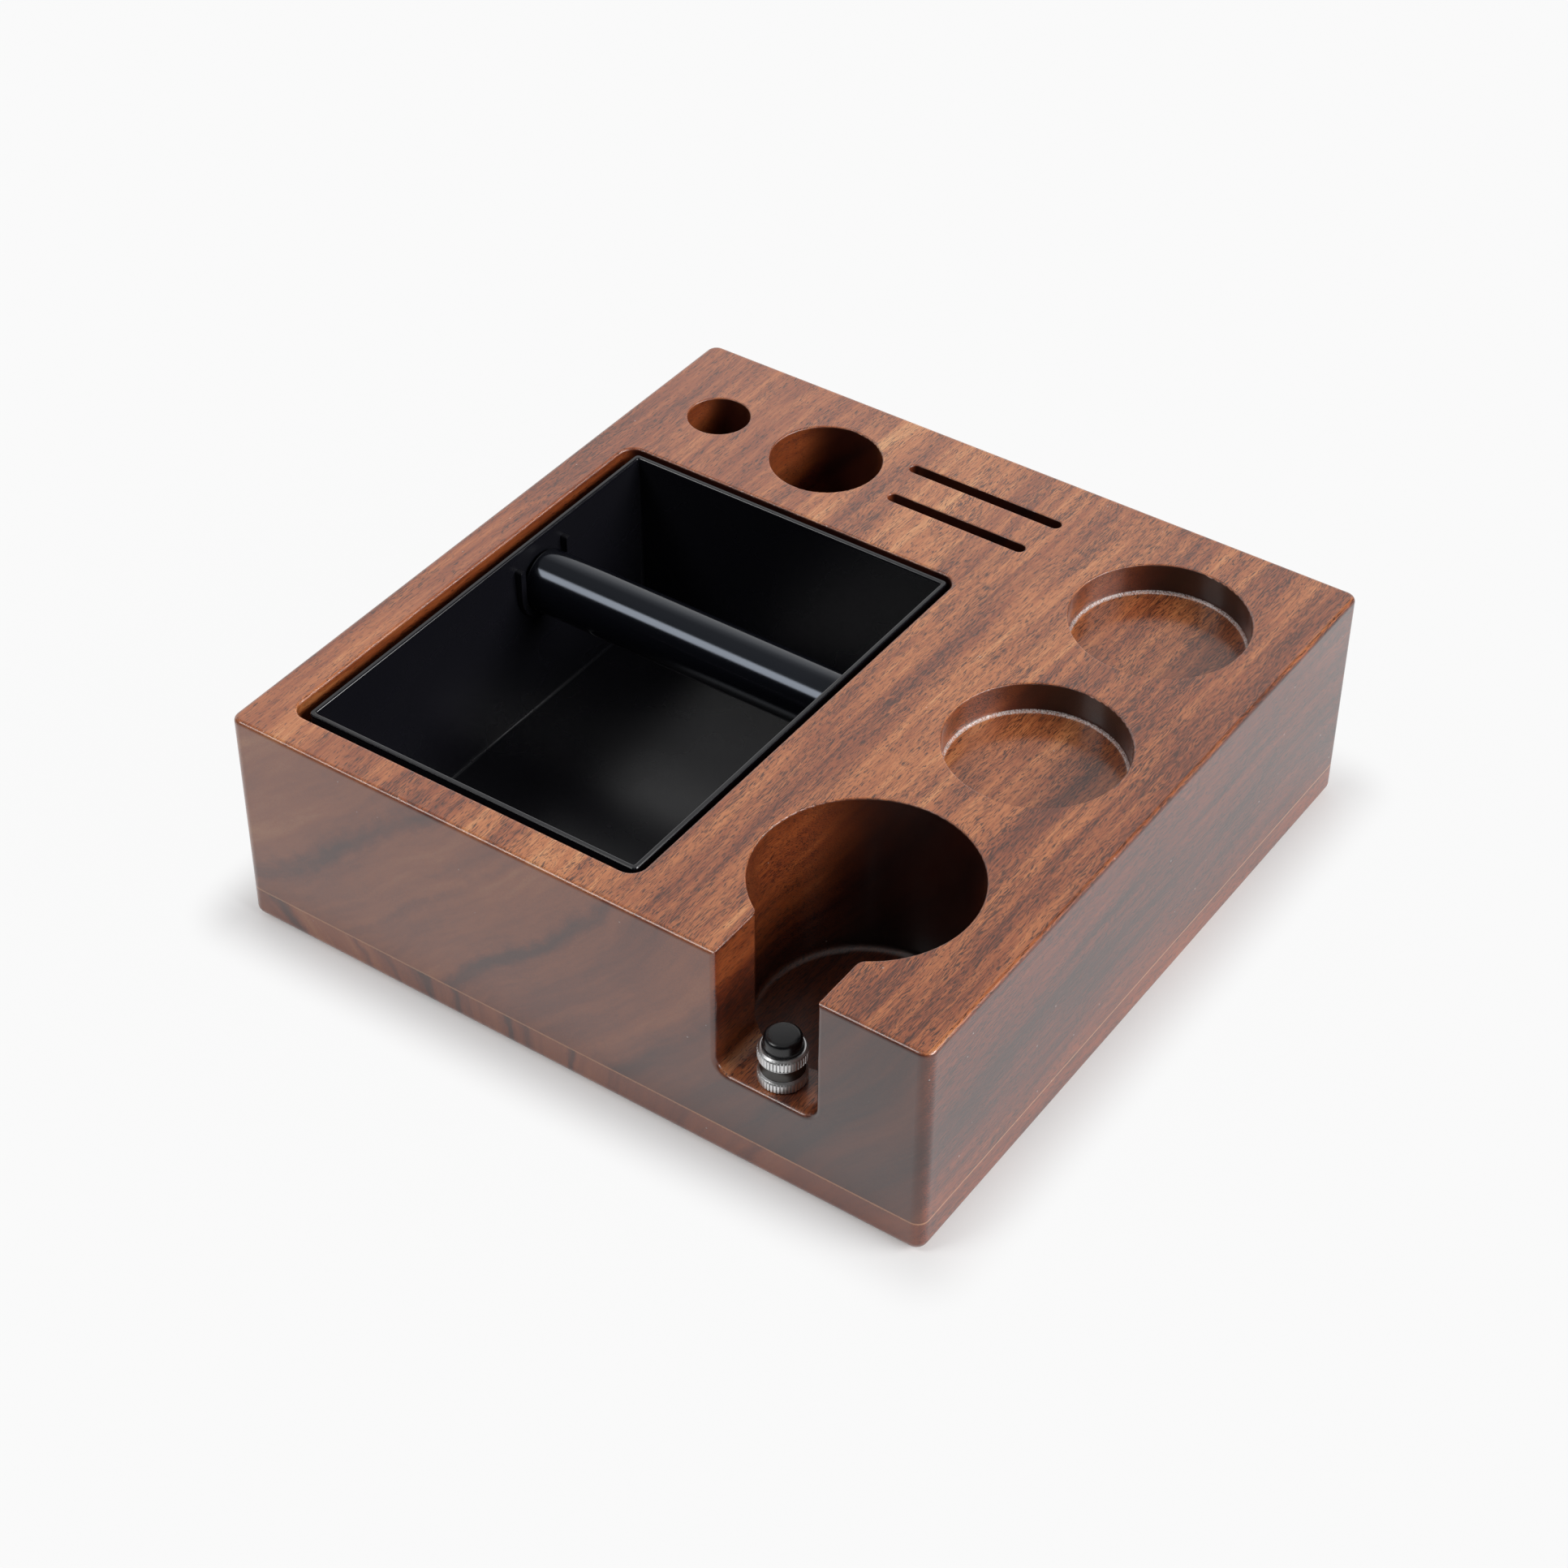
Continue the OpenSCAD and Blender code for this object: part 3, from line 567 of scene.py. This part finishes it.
# The peg, then a flange with soft edges, and the dome follows
outline = [(PEG, peg_end), (PEG, TOP), (rim - 0.1, TOP), (rim, TOP + 0.15), (rim, TOP + 0.45),
           (rim - 0.15, TOP + 0.7), (rim - 0.4, TOP + 0.8)]
for step in range(DOME_STEPS + 1):
    turn = math.pi / 2 * step / DOME_STEPS
    outline.append((CROWN_FLAT + DOME * math.cos(turn), crown - DOME + DOME * math.sin(turn)))
cap = lathe("rest_cap_domed", outline, STEPS, AXIS)
print("nut from", round(BOTTOM, 2), "to", round(TOP, 2), "mm, radius", round(RADIUS, 2))

# %% [markdown]
# The knurl repeats one tooth 44 times round each ring, which is work for Geometry Nodes. A
# tooth is a flat-topped wedge: a four-sided cone of unit size, laid on its side and scaled.
# It is set on the points of a circle, turned outward by the circle's own angle, and joined to
# the body. The modifier's result then becomes the mesh.

# %% Knurl
SOCKET_KINDS = {
    "Geometry": "Geometry", "Teeth": "Int", "Radius": "Float", "Tooth depth": "Float",
    "Tooth width": "Float", "Tooth length": "Float", "Lower ring": "Float",
    "Upper ring": "Float", "Axis": "Vector", "Finish": "Material",
}
knurl = bpy.data.node_groups.new("Straight knurl", "GeometryNodeTree")
for label, kind in SOCKET_KINDS.items():
    knurl.interface.new_socket(label, in_out="INPUT", socket_type="NodeSocket" + kind)
knurl.interface.new_socket("Geometry", in_out="OUTPUT", socket_type="NodeSocketGeometry")
given = knurl.nodes.new("NodeGroupInput").outputs
circle = add(knurl, "GeometryNodeMeshCircle",
             {"Vertices": given["Teeth"], "Radius": given["Radius"]})
wedge = add(knurl, "GeometryNodeMeshCone",
            {"Vertices": 4, "Side Segments": 1, "Fill Segments": 1,
             "Radius Top": 0.51, "Radius Bottom": 0.707, "Depth": 1.0})
square = add(knurl, "GeometryNodeTransform",
             {"Geometry": wedge.outputs["Mesh"], "Rotation": (0.0, 0.0, math.pi / 4)})
tooth = add(knurl, "GeometryNodeTransform",
            {"Geometry": square, "Rotation": (0.0, math.pi / 2, 0.0)})
size = add(knurl, "ShaderNodeCombineXYZ",
           {"X": given["Tooth depth"], "Y": given["Tooth width"], "Z": given["Tooth length"]})
where = add(knurl, "GeometryNodeInputPosition")
where = add(knurl, "ShaderNodeSeparateXYZ", {0: where}).outputs
angle = add(knurl, "ShaderNodeMath", {0: where["Y"], 1: where["X"]}, operation="ARCTAN2")
facing = add(knurl, "ShaderNodeCombineXYZ", {"Z": angle})
teeth = add(knurl, "GeometryNodeInstanceOnPoints",
            {"Points": circle, "Instance": tooth, "Rotation": facing, "Scale": size})
joined = add(knurl, "GeometryNodeJoinGeometry", {"Geometry": given["Geometry"]})
for label in ("Lower ring", "Upper ring"):
    lift = add(knurl, "ShaderNodeCombineXYZ", {"Z": given[label]})
    lift = add(knurl, "ShaderNodeVectorMath", {0: lift, 1: given["Axis"]}, operation="ADD")
    raised = add(knurl, "GeometryNodeTransform", {"Geometry": teeth, "Translation": lift})
    knurl.links.new(raised.outputs["Geometry"], joined.inputs["Geometry"])
solid = add(knurl, "GeometryNodeRealizeInstances", {"Geometry": joined})
dressed = add(knurl, "GeometryNodeSetMaterial", {"Geometry": solid, "Material": given["Finish"]})
add(knurl, "NodeGroupOutput", {0: dressed})
print("knurl inputs:", list(SOCKET_KINDS))

# %% [markdown]
# The other finishes are plain: one colour, with a roughness that varies a little, as on a
# mould that was polished by hand or a turned surface. One function makes them all, because
# only their numbers differ.


# %% Plain finish
def finish(name, base, roughness, spread, size, **sockets):
    """A finish whose roughness varies by spread over patches of the given size in mm."""
    material, tree = blank_material(name)
    place = add(tree, "ShaderNodeTexCoord").outputs["Object"]
    patch = add(tree, "ShaderNodeTexNoise",
                {"Vector": place, "Scale": 1000.0 / size, "Detail": 3.0})
    varied = add(tree, "ShaderNodeMapRange",
                 {"Value": patch, "From Min": 0.3, "From Max": 0.7,
                  "To Min": roughness - spread, "To Max": roughness + spread})
    inputs = {"Base Color": linear(base), "Roughness": varied}
    for key, value in sockets.items():
        inputs[key.replace("_", " ")] = value
    surface = add(tree, "ShaderNodeBsdfPrincipled", inputs)
    add(tree, "ShaderNodeOutputMaterial", {"Surface": surface})
    return material


def open_finish(material):
    """A finish's tree and surface node, and the height of a point in m."""
    tree = material.node_tree
    surface = next(n for n in tree.nodes if n.type == "BSDF_PRINCIPLED")
    place = add(tree, "ShaderNodeTexCoord").outputs["Object"]
    return tree, surface, add(tree, "ShaderNodeSeparateXYZ", {0: place}).outputs["Z"]


# %% [markdown]
# The loose bin is injection-moulded black plastic with a fine satin skin, and the bar wears a
# smooth black rubber tube that shines more. Both have an index of about 1.5, as most plastics
# do. The metals keep the default index, because their colour already says how they mirror.
# A polish has a roughness of about 0.1, a satin skin 0.3 and matt rubber 0.75. The fine knurl
# scatters light, so the plated nut is rougher than the turned parts. The bin's finish and the
# nut's change with the height: the bin's rim is glossier, and the nut's waist has a painted shade.

# %% Finishes
# The second colour is a painted shade for the nut's hollow waist
PLATING, WAIST_PAINTED_SHADE = "#e2e2e2", "#504e4c"
bin_plastic = finish("Satin black ABS", "#111116", 0.27, 0.03, 30.0, IOR=1.54)
bar_rubber = finish("Polished black rubber", "#0c0d12", 0.12, 0.02, 20.0, IOR=1.52,
                    Specular_Tint=linear("#d4deee"))
cap_rubber = finish("Moulded black rubber", "#101013", 0.26, 0.03, 6.0, IOR=1.52)
foot_rubber = finish("Matt black rubber", "#151515", 0.75, 0.05, 4.0, IOR=1.52)
plated_steel = finish("Nickel-plated steel", PLATING, 0.38, 0.04, 3.0, Metallic=1.0)
turned_steel = finish("Turned steel", "#a8a6a2", 0.30, 0.05, 3.0, Metallic=1.0)
turned_brass = finish("Turned brass", "#c9a15a", 0.30, 0.05, 3.0, Metallic=1.0)

# The bin's rim is glossier than the rest, because its parting line was polished
RIM_START, RIM_FULL, RIM_ROUGHNESS = 80.5, 81.2, 0.13
tree, surface, height = open_finish(bin_plastic)
at_rim = add(tree, "ShaderNodeMapRange",
             {"Value": height, "From Min": RIM_START * MM, "From Max": RIM_FULL * MM})
satin = surface.inputs["Roughness"].links[0].from_socket
gloss = add(tree, "ShaderNodeMix", {"Factor": at_rim, "A": satin, "B": RIM_ROUGHNESS},
            data_type="FLOAT")
tree.links.new(gloss.outputs[0], surface.inputs["Roughness"])

# The nut's hollow waist is painted a darker grey, a painted shade
tree, surface, height = open_finish(plated_steel)
waist = add(tree, "ShaderNodeMath",
            {0: height, 1: 0.5 * MM * (BOTTOM + TOP), 2: 0.5 * MM * WAIST}, operation="COMPARE")
shade = add(tree, "ShaderNodeMix",
            {"Factor": waist, "A": linear(PLATING), "B": linear(WAIST_PAINTED_SHADE)},
            data_type="RGBA")
tree.links.new(shade.outputs[2], surface.inputs["Base Color"])

for node, material in (
    ("knock_bin", bin_plastic), ("bar_sleeve", bar_rubber), ("bar_core", turned_steel),
    ("rest_insert", turned_brass), ("rest_stud", turned_steel), ("rest_nut", plated_steel),
    ("rest_cap", cap_rubber), ("foot_front_left", foot_rubber),
    ("foot_front_right", foot_rubber), ("foot_rear_left", foot_rubber),
    ("foot_rear_right", foot_rubber),
):
    dress(node, material)
print("finishes:", len(bpy.data.materials))

# %% [markdown]
# The teeth reach from inside the rings out to the nut's full radius. The finished nut and cap
# take the places of their plain solids, which stay for the physics. Both are shaded smooth,
# except at edges that are sharper than those between the lathe's steps.

# %% Nut and cap
SHARP = 28  # degrees
TEETH = 44
TOOTH_DEPTH, TOOTH_WIDTH, TOOTH_LENGTH = 0.36, 0.86, RING - BEVEL
values = {
    "Teeth": TEETH, "Radius": MM * (RADIUS - 0.5 * TOOTH_DEPTH),
    "Tooth depth": MM * TOOTH_DEPTH, "Tooth width": MM * TOOTH_WIDTH,
    "Tooth length": MM * TOOTH_LENGTH,
    "Lower ring": MM * (BOTTOM + 0.5 * TOOTH_LENGTH),
    "Upper ring": MM * (TOP - RING + 0.5 * TOOTH_LENGTH),
    "Axis": (MM * AXIS[0], MM * AXIS[1], 0.0), "Finish": plated_steel,
}
modifier = nut.modifiers.new("Knurl", "NODES")
modifier.node_group = knurl
for item in knurl.interface.items_tree:
    if item.in_out == "INPUT" and item.name in values:
        modifier[item.identifier] = values[item.name]
evaluated = nut.evaluated_get(bpy.context.evaluated_depsgraph_get())
finished = bpy.data.meshes.new_from_object(evaluated)
nut.modifiers.remove(modifier)
nut.data = finished
cap.data.materials.append(cap_rubber)
for piece, node, body, slot in ((nut, "rest_nut", "rest_spool", "nut_steel"),
                                (cap, "rest_cap", "rest_carrier", "cap_rubber")):
    piece.data.polygons.foreach_set("use_smooth", [True] * len(piece.data.polygons))
    piece.data.set_sharp_from_angle(angle=math.radians(SHARP))
    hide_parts(node)
    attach(piece, body)
print("nut:", len(finished.vertices), "points in", len(finished.polygons), "faces")

# %% [markdown]
# The bin's rim shows as two thin bright lines, because its edges are rounded. A round edge
# always mirrors some lamp, which is what makes it read as moulded. The bin gets a copy of its
# solid's mesh with these edges rounded. All of it stays flat shaded, because its walls are
# flat, and smooth shading would smear the corners of the channels over them.

# %% Bin with a rounded rim
ROUNDING, ROUND_STEPS = 0.7, 6
STEEP = 1.2  # radians between the faces at an edge of the rim
shape = bmesh.new()
shape.from_mesh(nodes["knock_bin"].data)
bmesh.ops.remove_doubles(shape, verts=shape.verts, dist=1e-6)
bmesh.ops.dissolve_limit(shape, angle_limit=math.radians(1), verts=shape.verts,
                         edges=shape.edges)
rim_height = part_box("knock_bin")[1][2]
edges = [e for e in shape.edges if len(e.link_faces) == 2 and e.calc_face_angle() > STEEP
         and all(abs(v.co.z - rim_height) < 1e-5 for v in e.verts)]
bmesh.ops.bevel(shape, geom=edges, offset=ROUNDING * MM, segments=ROUND_STEPS, profile=0.5,
                affect="EDGES")
mesh = bpy.data.meshes.new("rounded_bin")
shape.to_mesh(mesh)
shape.free()
bin_piece = place_object("rounded_bin", mesh)
mesh.materials.clear()
mesh.materials.append(bin_plastic)
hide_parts("knock_bin")
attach(bin_piece, "bin")
print("rim edges rounded:", len(edges), "faces:", len(mesh.polygons))
